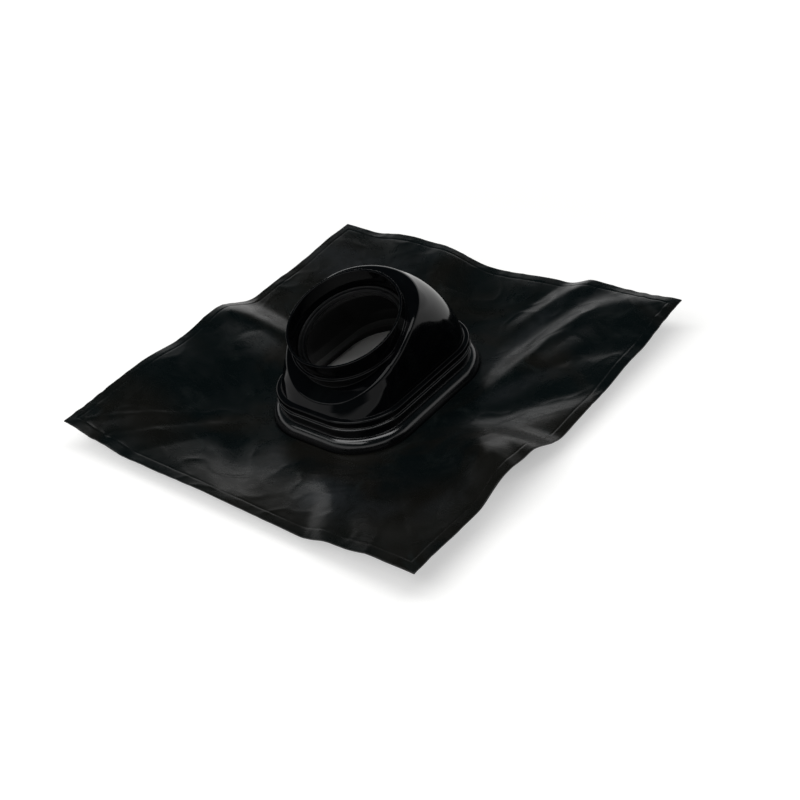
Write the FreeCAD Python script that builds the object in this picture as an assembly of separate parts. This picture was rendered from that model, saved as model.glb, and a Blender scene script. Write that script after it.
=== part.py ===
"""Pipe flashing boot: a malleable roofing apron with a moulded hood for a sloping pipe.

The part lies as it would on a flat bench, in millimetres, with +Z up. The origin is at the
centre of the base ring, on the plane that the ring stands on. The mouth of the hood faces
up and towards -Y, which is the upper side on a pitched roof.
"""
import FreeCAD, Part
import math
import os

Vec = FreeCAD.Vector

# ---- pipe and its socket ----
PIPE_RADIUS = 55.0            # the 110 mm vent pipe that the boot is made for
SEAL_CLEARANCE = 0.5          # relaxed seal to pipe, on the radius
SEAL_WIDTH = 8.8              # ring width, on the radius
SEAL_HEIGHT = 8.0
SEAL_CHAMFER = 1.2            # lead-in at the top of the seal's bore
SEAL_SEAT_CLEARANCE = 0.3     # seal to socket wall
SOCKET_WALL = 2.8
SOCKET_DEPTH = 32.0           # from the mouth down to the ledge that carries the seal
SOCKET_SKIRT = 8.0            # the socket's wall runs on this far below its ledge
LEDGE_THICKNESS = 3.0
LEDGE_REACH = 6.5             # how far the ledge stands in from the socket wall
BEAD_DROP = 20.0              # from the mouth down to the bead round the socket
BEAD_OUT = 3.0                # how far the bead stands out from the socket
BEAD_HEIGHT = 3.0

# ---- where the mouth lies ----
MOUTH_TILT = 20.0             # degrees from level, towards -Y
MOUTH_Y = -33.0
MOUTH_Z = 117.0

# ---- base ring ----
RING_HALF_WIDTH = 80.0        # outside of the wall, along X
RING_HALF_LENGTH = 110.0      # outside of the wall, along Y
RING_CORNER = 57.0            # corner radius of the wall in plan
RING_WALL = 4.0
RING_TOP = 34.0
FLANGE_REACH = 20.0           # how far the flat flange runs out under the apron
FLANGE_THICKNESS = 2.0
FLARE_REACH = 10.0            # how far the flare stands out from the wall at its toe
FLARE_LIFT = 0.3              # the flare's toe stands this far above the apron
FLARE_RISE = 14.0             # height of the flare, from its toe to the wall
FLARE_WALL = 3.0              # thickness over the flare, measured upright
RING_RIB_OUT = 2.2
RING_RIB_HEIGHT = 4.0
RING_RIB_DROP = 3.0           # from the ring's top to the top of its rib
RING_RIB_CHAMFER = 1.0

# ---- hood ----
HOOD_WALL = 3.0
HOOD_FOOT_HEIGHT = 6.5        # the foot flange that sits on the ring
HOOD_FOOT_OUT = 1.6           # beyond the ring's wall
HOOD_FOOT_CHAMFER = 1.0       # along the foot flange's top edge
HOOD_STEP = 4.0               # the dome stands this far inside the ring's outside
SPIGOT_DEPTH = 9.0            # skirt inside the ring
SPIGOT_WALL = 2.4
SPIGOT_CLEARANCE = 0.3
RIM_HALF_WIDTH = 77.0
RIM_FRONT_Y = -101.0          # front of the rim, its lowest place
RIM_FRONT_Z = 49.0
RIM_SLOPE = 35.0              # degrees, over the front half of the rim
RIM_FRONT_REACH = 90.0        # from the rim's front to its widest place, along the slope
RIM_BACK_Y = 54.0             # back of the rim, its highest place
RIM_BACK_Z = 131.0
DOME_BULGE_BACK = 12.0        # how far the dome swells out between its foot and the rim
DOME_BULGE_SIDE = 3.0
DOME_BULGE_RISE = 0.5         # the back also swells upwards, by this share of its swell
DOME_SINK = 2.0               # the dome's wall starts this far down in its foot flange
COLLAR_DROP = 5.0             # from the mouth down to the collar that joins face and socket

# ---- apron ----
APRON_SIZE = 500.0
APRON_THICKNESS = 2.0
APRON_GAP = 0.3               # weld line between apron and flange, and round the flare's toe
APRON_FLAT = 2.0              # flat land of the apron outside the flange
APRON_LOWEST = 0.5            # the apron's underside is nowhere lower than this

# How far the border of the apron stands off the bench, side by side. Each pair is a place along
# the side, from its middle, and the height there.
FRONT_LIFTS = (
    (-250, 37), (-200, 28), (-150, 21), (-20, 21), (100, 18), (150, 28), (205, 35), (250, 37))
RIGHT_LIFTS = (
    (-250, 37), (-150, 33), (-100, 45), (-60, 41), (0, 21), (60, 23), (150, 29), (250, 40))
BACK_LIFTS = (
    (-250, 27), (-210, 26), (-135, 34), (-90, 32), (-10, 17), (95, 24), (140, 36), (190, 35),
    (250, 40))
LEFT_LIFTS = ((-250, 37), (-120, 40), (-70, 36), (-5, 41), (65, 20), (120, 21), (250, 27))

# Folds pressed into the apron: (start, end, height, half width).
FOLDS = (
    ((110, 60), (185, 225), 12, 26),
    ((60, -150), (125, -235), 9, 24),
    ((-70, -165), (-10, -235), -7, 26),
    ((120, -40), (215, -75), 8, 24),
    ((-120, 20), (-225, 5), 9, 30),
    ((-30, 150), (-60, 225), 8, 34),
    ((160, 20), (235, 70), -6, 26),
)

# ---- how finely the curved forms are set out ----
SECTION_POINTS = 40           # points round each curved section of the hood
DOME_SHARES = (0.0, 0.25, 0.5, 0.75, 1.0)    # sections from the dome's foot to its rim
FLARE_STEPS = 6               # steps up the flare of the base ring
GRID_STEPS = 32               # divisions of the apron's surface each way
CUT_PAST = 1.0                # how far a cut runs past the face that it opens
TINY = 1e-9

APRON_LAND = FLANGE_THICKNESS + APRON_GAP    # the apron's underside over the flange


def rounded_outline(outset, z):
    """Closed outline parallel to the ring's wall, `outset` outside it, at height `z`."""
    half_x = RING_HALF_WIDTH + outset
    half_y = RING_HALF_LENGTH + outset
    radius = RING_CORNER + outset
    edges = []
    corners = ((1, 1), (-1, 1), (-1, -1), (1, -1))
    for index, (side_x, side_y) in enumerate(corners):
        centre = Vec(side_x * (half_x - radius), side_y * (half_y - radius), z)
        start = math.radians(90 * index)
        arc_points = [
            centre + Vec(radius * math.cos(start + turn), radius * math.sin(start + turn), 0)
            for turn in (0, math.pi / 4, math.pi / 2)
        ]
        next_x, next_y = corners[(index + 1) % 4]
        next_centre = Vec(next_x * (half_x - radius), next_y * (half_y - radius), z)
        end = start + math.pi / 2
        line_end = next_centre + Vec(radius * math.cos(end), radius * math.sin(end), 0)
        edges.append(Part.Arc(*arc_points).toShape())
        edges.append(Part.LineSegment(arc_points[2], line_end).toShape())
    return Part.Wire(edges)


def stacked(levels):
    """Solid through outlines parallel to the ring, one for each (outset, z) in `levels`."""
    return Part.makeLoft([rounded_outline(outset, z) for outset, z in levels], True, True)


# ---- the mouth's own frame ----
MOUTH_CENTRE = Vec(0, MOUTH_Y, MOUTH_Z)
MOUTH_AXIS = Vec(0, -math.sin(math.radians(MOUTH_TILT)), math.cos(math.radians(MOUTH_TILT)))
SEAL_BORE = PIPE_RADIUS + SEAL_CLEARANCE
SOCKET_BORE = SEAL_BORE + SEAL_WIDTH + SEAL_SEAT_CLEARANCE
SOCKET_RADIUS = SOCKET_BORE + SOCKET_WALL


def mouth_cylinder(radius, low, high):
    """Cylinder on the mouth's axis, between two heights measured up from the mouth."""
    return Part.makeCylinder(radius, high - low, MOUTH_CENTRE + MOUTH_AXIS * low, MOUTH_AXIS)


def mouth_point(radius, angle, height):
    """Point by radius, angle and height in the mouth's frame: a quarter turn is up its slope."""
    slope = Vec(0, MOUTH_AXIS.z, -MOUTH_AXIS.y)
    across = Vec(radius * math.cos(angle), 0, 0)
    return MOUTH_CENTRE + MOUTH_AXIS * height + across + slope * (radius * math.sin(angle))


def section_angles():
    """Angles round a section: 0 is towards +X and a quarter turn is towards +Y."""
    return [2 * math.pi * step / SECTION_POINTS for step in range(SECTION_POINTS)]


# ---- hood sections ----
DOME_FOOT_Z = RING_TOP + HOOD_FOOT_HEIGHT
RIM_WIDE_Y = RIM_FRONT_Y + RIM_FRONT_REACH * math.cos(math.radians(RIM_SLOPE))
RIM_WIDE_Z = RIM_FRONT_Z + RIM_FRONT_REACH * math.sin(math.radians(RIM_SLOPE))


def face_height(y):
    """Height of the hood's sloping face: straight over its front half, bending level at its back."""
    steepness = math.tan(math.radians(RIM_SLOPE))
    past = y - RIM_WIDE_Y
    if past < 0:
        return RIM_WIDE_Z + past * steepness
    run = RIM_BACK_Y - RIM_WIDE_Y
    share = past / run
    drop = run * steepness - (RIM_BACK_Z - RIM_WIDE_Z)
    return RIM_WIDE_Z + past * steepness - share ** 2 * drop


def foot_point(angle, inset):
    """Point on the dome's foot outline, which is parallel to the ring's wall."""
    outset = -HOOD_STEP - inset
    half_x = RING_HALF_WIDTH + outset
    half_y = RING_HALF_LENGTH + outset
    radius = RING_CORNER + outset
    aim_x = abs(half_x * math.cos(angle))
    aim_y = abs(half_y * math.sin(angle))
    reach = min(half_x / max(aim_x, TINY), half_y / max(aim_y, TINY))
    corner_x, corner_y = half_x - radius, half_y - radius
    if aim_x * reach > corner_x and aim_y * reach > corner_y:
        length = aim_x ** 2 + aim_y ** 2
        middle = (aim_x * corner_x + aim_y * corner_y) / length
        rest = (corner_x ** 2 + corner_y ** 2 - radius ** 2) / length
        reach = middle + math.sqrt(middle ** 2 - rest)
    across = math.copysign(aim_x * reach, math.cos(angle))
    along = math.copysign(aim_y * reach, math.sin(angle))
    return Vec(across, along, DOME_FOOT_Z - DOME_SINK)


def rim_point(angle, inset):
    """Point on the rim, which is where the dome meets the sloping face."""
    across = (RIM_HALF_WIDTH - inset) * math.cos(angle)
    end_y = RIM_FRONT_Y + inset if math.sin(angle) < 0 else RIM_BACK_Y - inset
    along = RIM_WIDE_Y + abs(math.sin(angle)) * (end_y - RIM_WIDE_Y)
    return Vec(across, along, face_height(along) - inset)


def neck_height(angle, radius, inset):
    """Height, measured from the mouth, at which a line up the socket's wall leaves the face."""
    low, high = -SOCKET_RADIUS, 0.0
    while high - low > TINY:
        middle = (low + high) / 2
        place = mouth_point(radius, angle, middle)
        if place.z < face_height(place.y) - inset:
            low = middle
        else:
            high = middle
    return low


def dome_section(share, inset):
    """Points of one section of the dome; `share` runs from 0 at its foot to 1 at its rim."""
    points = []
    for angle in section_angles():
        foot = foot_point(angle, inset)
        rim = rim_point(angle, inset)
        backness = max(0.0, math.sin(angle)) ** 2
        swell = DOME_BULGE_SIDE * math.cos(angle) ** 2 + DOME_BULGE_BACK * backness
        swell *= 4 * share * (1 - share)
        outward = Vec(math.cos(angle), math.sin(angle), DOME_BULGE_RISE * backness)
        points.append(foot * (1 - share) + rim * share + outward * swell)
    return points


def smooth_wire(points):
    """Smooth closed wire through points."""
    curve = Part.BSplineCurve()
    curve.interpolate(Points=points, PeriodicFlag=True)
    return Part.Wire([curve.toShape()])


def closed_solid(faces):
    """Solid bounded by faces that meet edge to edge."""
    shell = Part.makeShell(faces)
    shell.sewShape()
    solid = Part.makeSolid(shell)
    if solid.Volume < 0:
        solid.reverse()
    return solid


def dome_form(inset):
    """Closed form of the dome and its face, with a collar that ends inside the socket's wall."""
    radius = SOCKET_RADIUS - SOCKET_WALL / 2 - inset
    angles = section_angles()
    sections = [smooth_wire(dome_section(share, inset)) for share in DOME_SHARES]
    neck = smooth_wire([mouth_point(radius, angle, neck_height(angle, radius, inset)) for angle in angles])
    collar_top = smooth_wire([mouth_point(radius, angle, -COLLAR_DROP - inset) for angle in angles])
    dome = Part.makeLoft(sections, False, False)
    face = Part.makeLoft([sections[-1], neck], False, True)
    collar = Part.makeLoft([neck, collar_top], False, True)
    ends = [Part.Face(sections[0]), Part.Face(collar_top)]
    return closed_solid(dome.Faces + face.Faces + collar.Faces + ends)


def build_hood():
    """Dome, foot flange, spigot, sloping face, bead, socket and ledge: one moulding."""
    outer = dome_form(0.0)
    inner = dome_form(HOOD_WALL)
    foot = stacked((
        (HOOD_FOOT_OUT, RING_TOP), (HOOD_FOOT_OUT, DOME_FOOT_Z - HOOD_FOOT_CHAMFER),
        (HOOD_FOOT_OUT - HOOD_FOOT_CHAMFER, DOME_FOOT_Z)))
    spigot_out = -RING_WALL - SPIGOT_CLEARANCE
    spigot = stacked(((spigot_out, RING_TOP - SPIGOT_DEPTH), (spigot_out, RING_TOP)))
    bore_out = spigot_out - SPIGOT_WALL
    foot_bore = stacked(((bore_out, RING_TOP - SPIGOT_DEPTH), (bore_out, DOME_FOOT_Z)))
    ledge_low = -SOCKET_DEPTH - LEDGE_THICKNESS
    socket_low = ledge_low - SOCKET_SKIRT
    socket = mouth_cylinder(SOCKET_RADIUS, socket_low, 0)
    bead = mouth_cylinder(SOCKET_RADIUS + BEAD_OUT, -BEAD_DROP - BEAD_HEIGHT, -BEAD_DROP)
    body = outer.cut(inner)
    for addition in (foot.cut(foot_bore), spigot.cut(foot_bore), socket, bead):
        body = body.fuse(addition)
    body = body.cut(mouth_cylinder(SOCKET_BORE, -SOCKET_DEPTH, CUT_PAST))
    body = body.cut(mouth_cylinder(SOCKET_BORE, socket_low - CUT_PAST, ledge_low))
    return body.cut(mouth_cylinder(SOCKET_BORE - LEDGE_REACH, ledge_low - CUT_PAST, CUT_PAST))


def build_pipe_seal():
    """Soft ring on the socket's ledge."""
    low = -SOCKET_DEPTH
    high = low + SEAL_HEIGHT
    ring = mouth_cylinder(SOCKET_BORE - SEAL_SEAT_CLEARANCE, low, high)
    ring = ring.cut(mouth_cylinder(SEAL_BORE, low, high))
    lead_in = Part.makeCone(
        SEAL_BORE, SEAL_BORE + SEAL_CHAMFER, SEAL_CHAMFER,
        MOUTH_CENTRE + MOUTH_AXIS * (high - SEAL_CHAMFER), MOUTH_AXIS)
    return ring.cut(lead_in)


def flare_levels(inset, drop):
    """Levels of the flare's quarter oval, shifted in by `inset` and down by `drop`."""
    toe_z = APRON_LAND + APRON_THICKNESS + FLARE_LIFT - drop
    levels = []
    for step in range(FLARE_STEPS):
        turn = math.radians(90 * step / FLARE_STEPS)
        levels.append((FLARE_REACH * math.cos(turn) - inset, toe_z + FLARE_RISE * math.sin(turn)))
    levels.append((-inset, toe_z + FLARE_RISE))
    return levels


def build_base_ring():
    """Flat flange under the apron, flare, wall and rib: one moulding, open right through."""
    flange = stacked(((FLANGE_REACH, 0.0), (FLANGE_REACH, FLANGE_THICKNESS)))
    outer = stacked([(FLARE_REACH, 0.0)] + flare_levels(0.0, 0.0) + [(0.0, RING_TOP)])
    rib_top = RING_TOP - RING_RIB_DROP
    rib_low = rib_top - RING_RIB_HEIGHT
    rib = stacked((
        (0.0, rib_low), (RING_RIB_OUT, rib_low + RING_RIB_CHAMFER),
        (RING_RIB_OUT, rib_top - RING_RIB_CHAMFER), (0.0, rib_top)))
    foot_inside = FLARE_REACH - RING_WALL
    bore = stacked([(foot_inside, 0.0)] + flare_levels(RING_WALL, FLARE_WALL) + [(-RING_WALL, RING_TOP)])
    return outer.fuse([flange, rib]).cut(bore)


def smooth_between(lifts, place):
    """Height of a side of the apron at `place`, eased between the listed places."""
    for (start, low), (end, high) in zip(lifts, lifts[1:]):
        if place <= end:
            share = (place - start) / (end - start)
            return low + (high - low) * (1 - math.cos(math.pi * share)) / 2
    return lifts[-1][1]


def border_height(x, y):
    """Height of the apron's border where the ray from the centre through (x, y) meets it."""
    scale = APRON_SIZE / 2 / max(abs(x), abs(y))
    if abs(x) >= abs(y):
        lifts = RIGHT_LIFTS if x > 0 else LEFT_LIFTS
        return smooth_between(lifts, y * scale)
    lifts = BACK_LIFTS if y > 0 else FRONT_LIFTS
    return smooth_between(lifts, x * scale)


def flatness(x, y):
    """0 on the flat land round the ring, rising to 1 at the apron's border."""
    land_x = RING_HALF_WIDTH + FLANGE_REACH + APRON_FLAT
    land_y = RING_HALF_LENGTH + FLANGE_REACH + APRON_FLAT
    corner = RING_CORNER + FLANGE_REACH + APRON_FLAT
    over_x = max(abs(x) - (land_x - corner), 0.0)
    over_y = max(abs(y) - (land_y - corner), 0.0)
    outside = math.hypot(over_x, over_y) - corner
    if outside <= 0:
        return 0.0
    inside = APRON_SIZE / 2 - max(abs(x), abs(y))
    return outside / (outside + inside)


def fold_height(x, y):
    """Sum of the pressed folds at (x, y)."""
    total = 0.0
    for (ax, ay), (bx, by), height, half_width in FOLDS:
        dx, dy = bx - ax, by - ay
        length = math.hypot(dx, dy)
        along = ((x - ax) * dx + (y - ay) * dy) / length
        across = ((x - ax) * dy - (y - ay) * dx) / length
        past = max(-along, along - length, 0.0)
        total += height * math.exp(-(across ** 2 + past ** 2) / half_width ** 2)
    return total


def apron_height(x, y):
    """Height of the apron's underside at (x, y)."""
    share = flatness(x, y)
    if share == 0:
        return APRON_LAND
    eased = (1 - math.cos(math.pi * share)) / 2
    fade = math.sin(math.pi * share)
    height = APRON_LAND + eased * (border_height(x, y) - APRON_LAND) + fade * fold_height(x, y)
    return max(height, APRON_LOWEST)


def apron_surface(lift):
    """Smooth wavy face of the apron, `lift` above its underside."""
    half = APRON_SIZE / 2
    step = APRON_SIZE / GRID_STEPS
    places = [-half + index * step for index in range(GRID_STEPS + 1)]
    rows = [[Vec(x, y, apron_height(x, y) + lift) for y in places] for x in places]
    surface = Part.BSplineSurface()
    surface.interpolate(rows)
    return surface.toShape()


def build_apron():
    """Wavy square sheet with the hole that the ring's flare comes up through."""
    under = apron_surface(0.0)
    over = apron_surface(APRON_THICKNESS)
    sides = [Part.makeRuledSurface(low, high) for low, high in zip(under.Edges, over.Edges)]
    sheet = closed_solid([under, over] + sides)
    edge = FLARE_REACH + APRON_GAP
    hole = stacked(((edge, 0.0), (edge, APRON_LAND + APRON_THICKNESS + CUT_PAST)))
    return sheet.cut(hole)


PIECES = {
    "apron": build_apron,
    "base_ring": build_base_ring,
    "hood": build_hood,
    "pipe_seal": build_pipe_seal,
}

os.makedirs("parts", exist_ok=True)
for name, build in PIECES.items():
    shape = build()
    shape.exportStep("parts/" + name + ".step")
    print(name, "valid", shape.isValid(), "solids", len(shape.Solids), "volume", round(shape.Volume),
          "box", shape.BoundBox)
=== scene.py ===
import logging
import math
from dataclasses import dataclass
from enum import Enum
from typing import Callable, Sequence

import bpy
from mathutils import Matrix, Vector, noise


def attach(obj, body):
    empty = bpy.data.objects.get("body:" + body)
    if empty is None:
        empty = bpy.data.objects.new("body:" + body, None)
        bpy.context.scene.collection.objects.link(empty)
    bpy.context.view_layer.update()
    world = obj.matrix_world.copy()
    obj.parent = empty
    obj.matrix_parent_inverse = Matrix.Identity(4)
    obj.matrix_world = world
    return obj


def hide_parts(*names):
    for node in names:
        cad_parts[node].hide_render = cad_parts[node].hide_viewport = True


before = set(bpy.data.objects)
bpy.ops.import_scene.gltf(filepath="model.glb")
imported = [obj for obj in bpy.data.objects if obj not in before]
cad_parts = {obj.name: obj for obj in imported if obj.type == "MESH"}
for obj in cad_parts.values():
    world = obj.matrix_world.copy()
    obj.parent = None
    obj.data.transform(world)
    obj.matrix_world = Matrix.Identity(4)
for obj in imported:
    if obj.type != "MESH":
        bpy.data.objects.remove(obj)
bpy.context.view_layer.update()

LOG = logging.getLogger("flashing_boot")
MM = 0.001
BODY = "root"
NORMAL_WEIGHT = 50
PLASTIC_IOR = 1.5
SQUARE = ((-1, -1), (1, -1), (1, 1), (-1, 1))    # corners, anticlockwise from the front left

Socket = bpy.types.NodeSocket
Triple = tuple[float, float, float]
Colour = Triple
Spot = tuple[float, float]


class Piece(Enum):
    """The moulded and sheet pieces, by the name of the node that each one dresses."""

    APRON = "apron"
    BASE_RING = "base_ring"
    HOOD = "hood"
    PIPE_SEAL = "pipe_seal"


class Side(Enum):
    """The four sides of the square apron."""

    FRONT = "front"
    RIGHT = "right"
    BACK = "back"
    LEFT = "left"


# ---------------------------------------------------------------- mesh helpers


@dataclass(frozen=True)
class Bend:
    """One corner of a moulding's section, in millimetres.

    Attributes:
        place: where the two straight runs would meet.
        radius: radius of the rounding; 0 leaves a plain point.
        steps: divisions of the rounding.
        span: divisions of the straight run to the next corner.
    """

    place: Vector
    radius: float = 0.0
    steps: int = 4
    span: int = 1


def rounding(before: Vector, bend: Bend, after: Vector) -> list[Vector]:
    """Points of one rounded corner.

    Args:
        before: the corner before this one.
        bend: the corner to round.
        after: the corner after this one.

    Returns:
        The arc's points, always steps + 1 of them, or the corner alone where its radius is 0.
    """
    if bend.radius <= 0:
        return [bend.place]
    back = before - bend.place
    ahead = after - bend.place
    if back.length < 1e-6 or ahead.length < 1e-6:
        return [bend.place.copy() for _ in range(bend.steps + 1)]
    turning = math.pi - back.angle(ahead)
    reach = min(bend.radius * math.tan(turning / 2), 0.45 * back.length, 0.45 * ahead.length)
    start = bend.place + back.normalized() * reach
    end = bend.place + ahead.normalized() * reach
    weight = math.cos(turning / 2)
    points = []
    for step in range(bend.steps + 1):
        t = step / bend.steps
        first, middle, last = (1 - t) ** 2, 2 * weight * t * (1 - t), t ** 2
        points.append((start * first + bend.place * middle + end * last) / (first + middle + last))
    return points


def section_loop(bends: Sequence[Bend]) -> list[Vector]:
    """Closed section through rounded corners.

    Args:
        bends: the corners in order, the last one followed by the first.

    Returns:
        The section's points. Their number depends only on the steps and spans of the corners.
    """
    count = len(bends)
    arcs = [rounding(bends[i - 1].place, bends[i], bends[(i + 1) % count].place) for i in range(count)]
    points: list[Vector] = []
    for index, arc in enumerate(arcs):
        points.extend(arc)
        following = arcs[(index + 1) % count][0]
        span = bends[index].span
        for step in range(1, span):
            points.append(arc[-1].lerp(following, step / span))
    return points


def closed_body(name: str, sections: Sequence[Sequence[Vector]], flip: bool) -> bpy.types.Object:
    """Mesh object swept through closed sections that follow each other round a closed path.

    Args:
        name: the object's name.
        sections: one closed section for each station, all with the same number of points, in mm.
        flip: turns the faces the other way round.

    Returns:
        The new object, smooth shaded, linked into the scene.
    """
    ring = len(sections[0])
    vertices = [tuple(point * MM) for section in sections for point in section]
    total = len(sections)
    faces = []
    for station in range(total):
        here = station * ring
        there = ((station + 1) % total) * ring
        for index in range(ring):
            after = (index + 1) % ring
            face = (here + index, there + index, there + after, here + after)
            faces.append(face[::-1] if flip else face)
    mesh = bpy.data.meshes.new(name)
    mesh.from_pydata(vertices, [], faces)
    mesh.validate()
    mesh.polygons.foreach_set("use_smooth", [True] * len(mesh.polygons))
    mesh.update()
    piece = bpy.data.objects.new(name, mesh)
    bpy.context.scene.collection.objects.link(piece)
    return piece


def dressed(name: str, sections: Sequence[Sequence[Vector]], node: Piece, finish: bpy.types.Material,
            flip: bool = False) -> bpy.types.Object:
    """Makes a piece, gives it its finish and its body, and hides the CAD part of its node.

    The normals are weighted by face area, so flats stay flat beside their small roundings.

    Args:
        name: the object's name.
        sections: its closed sections in order, in mm.
        node: the node that it stands for.
        finish: its material.
        flip: turns the faces the other way round.

    Returns:
        The piece.
    """
    piece = closed_body(name, sections, flip)
    modifier = piece.modifiers.new("even_normals", "WEIGHTED_NORMAL")
    modifier.keep_sharp = True
    modifier.weight = NORMAL_WEIGHT
    piece.data.materials.append(finish)
    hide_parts(node.value)
    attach(piece, BODY)
    return piece


# ---------------------------------------------------------------- finishes


@dataclass(frozen=True)
class Patch:
    """Soft-edged oval on the object.

    Attributes:
        place: where it lies in plan, in millimetres.
        radius: its shorter radius, in millimetres.
        stretch: how many times longer than wide it is.
        turn: degrees from +X to its long way.
        strength: how strong it is in its middle.
    """

    place: Spot
    radius: float
    stretch: float
    turn: float
    strength: float = 1.0


class Tree:
    """Small helper that builds the nodes of a material or a world."""

    def __init__(self, owner: bpy.types.Material | bpy.types.World, output: str) -> None:
        """Empties a node tree and gives it its output.

        Args:
            owner: the material or world.
            output: type of the output node.
        """
        owner.use_nodes = True
        self.nodes = owner.node_tree.nodes
        self.links = owner.node_tree.links
        self.nodes.clear()
        self.surface = self.nodes.new(output).inputs["Surface"]

    def link(self, source: Socket, target: Socket) -> None:
        """Joins two sockets."""
        self.links.new(source, target)

    def coordinates(self, kind: str) -> Socket:
        """Coordinates of one kind."""
        return self.nodes.new("ShaderNodeTexCoord").outputs[kind]

    def height_of(self, vector: Socket) -> Socket:
        """Upward part of a vector."""
        split = self.nodes.new("ShaderNodeSeparateXYZ")
        self.link(vector, split.inputs["Vector"])
        return split.outputs["Z"]

    def length_of(self, vector: Socket) -> Socket:
        """Length of a vector."""
        node = self.nodes.new("ShaderNodeVectorMath")
        node.operation = "LENGTH"
        self.link(vector, node.inputs[0])
        return node.outputs["Value"]

    def sum(self, one: Socket, other: Socket, mode: str = "ADD") -> Socket:
        """Adds two values, or joins them by another maths mode."""
        node = self.nodes.new("ShaderNodeMath")
        node.operation = mode
        self.link(one, node.inputs[0])
        self.link(other, node.inputs[1])
        return node.outputs["Value"]

    def levels(self, source: Socket, low: float, high: float,
               to_low: float = 0.0, to_high: float = 1.0, smooth: bool = True) -> Socket:
        """Maps a range of a value to another range, clamped, smoothly or in a straight line."""
        node = self.nodes.new("ShaderNodeMapRange")
        node.interpolation_type = "SMOOTHSTEP" if smooth else "LINEAR"
        for name, value in (("From Min", low), ("From Max", high), ("To Min", to_low), ("To Max", to_high)):
            node.inputs[name].default_value = value
        self.link(source, node.inputs["Value"])
        return node.outputs["Result"]

    def blend(self, share: Socket, first: Socket | Colour, second: Colour) -> Socket:
        """Colour that goes from the first to the second with the share."""
        node = self.nodes.new("ShaderNodeMix")
        node.data_type = "RGBA"
        self.link(share, node.inputs["Factor"])
        if isinstance(first, tuple):
            node.inputs["A"].default_value = (*first, 1)
        else:
            self.link(first, node.inputs["A"])
        node.inputs["B"].default_value = (*second, 1)
        return node.outputs["Result"]

    def shown(self) -> Socket:
        """1 for rays of the camera, of reflections and of transmission, 0 for the others."""
        path = self.nodes.new("ShaderNodeLightPath").outputs
        direct = self.sum(path["Is Camera Ray"], path["Is Glossy Ray"], "MAXIMUM")
        return self.sum(direct, path["Is Transmission Ray"], "MAXIMUM")


class Finish(Tree):
    """Node material of one piece, read from the object's own coordinates."""

    def __init__(self, name: str, specular: float) -> None:
        """Starts a material.

        Args:
            name: the material's name.
            specular: its specular level.
        """
        self.material = bpy.data.materials.new(name)
        super().__init__(self.material, "ShaderNodeOutputMaterial")
        self.shader = self.nodes.new("ShaderNodeBsdfPrincipled")
        self.shader.inputs["IOR"].default_value = PLASTIC_IOR
        self.shader.inputs["Specular IOR Level"].default_value = specular
        self.place = self.coordinates("Object")
        self.link(self.shader.outputs["BSDF"], self.surface)

    def wear(self, colour: Socket, roughness: Socket, normal: Socket) -> bpy.types.Material:
        """Gives the shader its colour, roughness and relief, and returns the material."""
        self.link(colour, self.shader.inputs["Base Color"])
        self.link(roughness, self.shader.inputs["Roughness"])
        self.link(normal, self.shader.inputs["Normal"])
        return self.material

    def stretched(self, scale: Triple, turn: Triple) -> Socket:
        """Object coordinates scaled and turned, for a pattern with a direction."""
        mapping = self.nodes.new("ShaderNodeMapping")
        mapping.inputs["Scale"].default_value = scale
        mapping.inputs["Rotation"].default_value = turn
        self.link(self.place, mapping.inputs["Vector"])
        return mapping.outputs["Vector"]

    def cloud(self, scale: float, detail: float = 3.0, rough: float = 0.55, warp: float = 0.0,
              place: Socket | None = None) -> Socket:
        """Noise over the surface.

        Args:
            scale: how many features a metre.
            detail: octaves.
            rough: share of the finer octaves.
            warp: distortion.
            place: coordinates, the object's own where left out.

        Returns:
            The noise's factor.
        """
        node = self.nodes.new("ShaderNodeTexNoise")
        node.inputs["Scale"].default_value = scale
        node.inputs["Detail"].default_value = detail
        node.inputs["Roughness"].default_value = rough
        node.inputs["Distortion"].default_value = warp
        self.link(place or self.place, node.inputs["Vector"])
        return node.outputs["Fac"]

    def cells(self, scale: float) -> Socket:
        """Distance to the nearest of scattered points."""
        node = self.nodes.new("ShaderNodeTexVoronoi")
        node.inputs["Scale"].default_value = scale
        self.link(self.place, node.inputs["Vector"])
        return node.outputs["Distance"]

    def bump(self, height: Socket, strength: float, distance: float,
             under: Socket | None = None) -> Socket:
        """Small relief on the surface, in metres of distance."""
        node = self.nodes.new("ShaderNodeBump")
        node.inputs["Strength"].default_value = strength
        node.inputs["Distance"].default_value = distance
        self.link(height, node.inputs["Height"])
        if under is not None:
            self.link(under, node.inputs["Normal"])
        return node.outputs["Normal"]

    def patch(self, patch: Patch) -> Socket:
        """1 in a patch's middle, falling smoothly to 0 at its border."""
        moved = self.nodes.new("ShaderNodeMapping")
        moved.vector_type = "TEXTURE"
        moved.inputs["Location"].default_value = (patch.place[0] * MM, patch.place[1] * MM, 0)
        moved.inputs["Rotation"].default_value = (0, 0, math.radians(patch.turn))
        moved.inputs["Scale"].default_value = (patch.radius * patch.stretch * MM, patch.radius * MM, 1)
        self.link(self.place, moved.inputs["Vector"])
        return self.levels(self.length_of(moved.outputs["Vector"]), 0.15, 1.0, 1.0, 0.0)

    def upward(self) -> Socket:
        """How far the surface faces up."""
        return self.height_of(self.nodes.new("ShaderNodeNewGeometry").outputs["Normal"])

    def edges(self) -> Socket:
        """How sharply the surface stands out."""
        return self.nodes.new("ShaderNodeNewGeometry").outputs["Pointiness"]


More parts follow.
